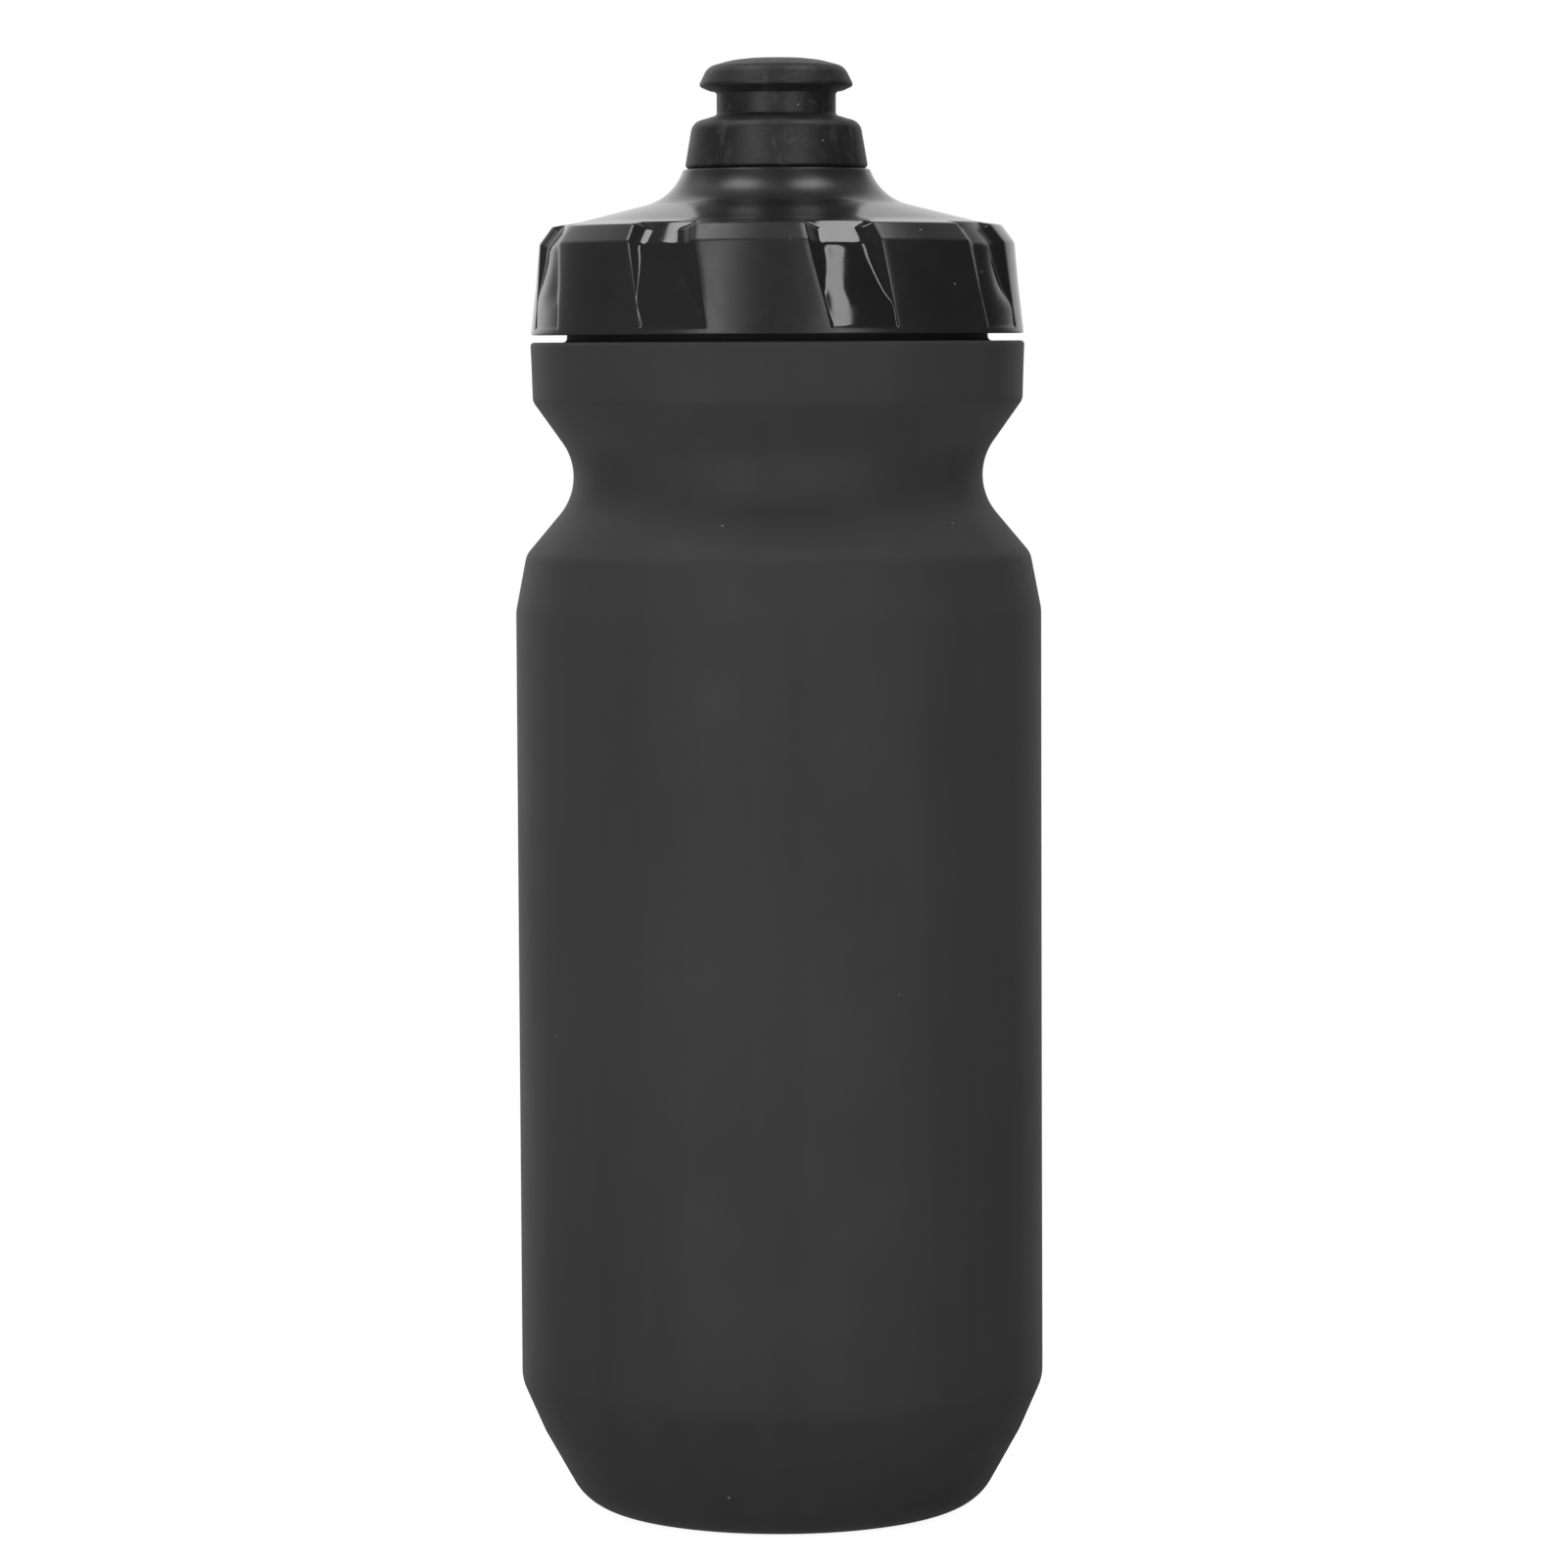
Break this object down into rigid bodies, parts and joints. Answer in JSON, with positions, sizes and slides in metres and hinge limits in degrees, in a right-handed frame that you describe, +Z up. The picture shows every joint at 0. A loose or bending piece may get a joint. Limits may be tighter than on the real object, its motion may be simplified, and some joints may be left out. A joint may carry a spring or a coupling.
{
  "type": "sports squeeze bottle",
  "caption": "Cage-size squeeze bottle with a grooved screw lid, a push-pull mushroom nozzle and a self-sealing slit valve.",
  "frame": {"origin": "centre of the base, on the surface that the bottle stands on", "axes": "+Z up along the bottle's axis, -Y towards the side seen in front, +X to the right of it"},
  "size_m": [0.0734, 0.0734, 0.203],
  "materials": {
    "bottle_plastic": "matte dark grey, soft squeezable polyethylene",
    "lid_plastic": "fine matte texture with polished grip recesses",
    "inner_plastic": "plain moulded",
    "nozzle_rubber": "soft matte black",
    "seal_silicone": "smoky grey silicone",
    "seal_rubber": "smooth black rubber"
  },
  "bodies": {
    "bottle": {"bottle_body": "bottle_plastic"},
    "lid_seal": {"lid_gasket": "seal_silicone"},
    "lid": {"lid_shell": "lid_plastic", "valve_post": "inner_plastic"},
    "stem_seal": {"stem_o_ring": "seal_rubber"},
    "nozzle": {"nozzle_core": "inner_plastic", "nozzle_mouthpiece": "nozzle_rubber", "valve_membrane": "seal_silicone"}
  },
  "joints": [
    {"name": "lid_rise", "type": "slide", "parent": "bottle", "child": "lid_seal", "axis": [0, 0, 1], "range_m": [0, 0.015]},
    {"name": "lid_turn", "type": "hinge", "parent": "lid_seal", "child": "lid", "pos_m": [0, 0, 0.176], "axis": [0, 0, 1], "range_deg": [0, 1080]},
    {"name": "nozzle_pull", "type": "slide", "parent": "lid", "child": "stem_seal", "axis": [0, 0, 1], "range_m": [0, 0.004]},
    {"name": "nozzle_spin", "type": "hinge", "parent": "stem_seal", "child": "nozzle", "pos_m": [0, 0, 0.1866], "axis": [0, 0, 1], "continuous": true}
  ],
  "couplings": [
    {"joint": "lid_turn", "follows": "lid_rise", "rad_per_m": 1256.6}
  ]
}
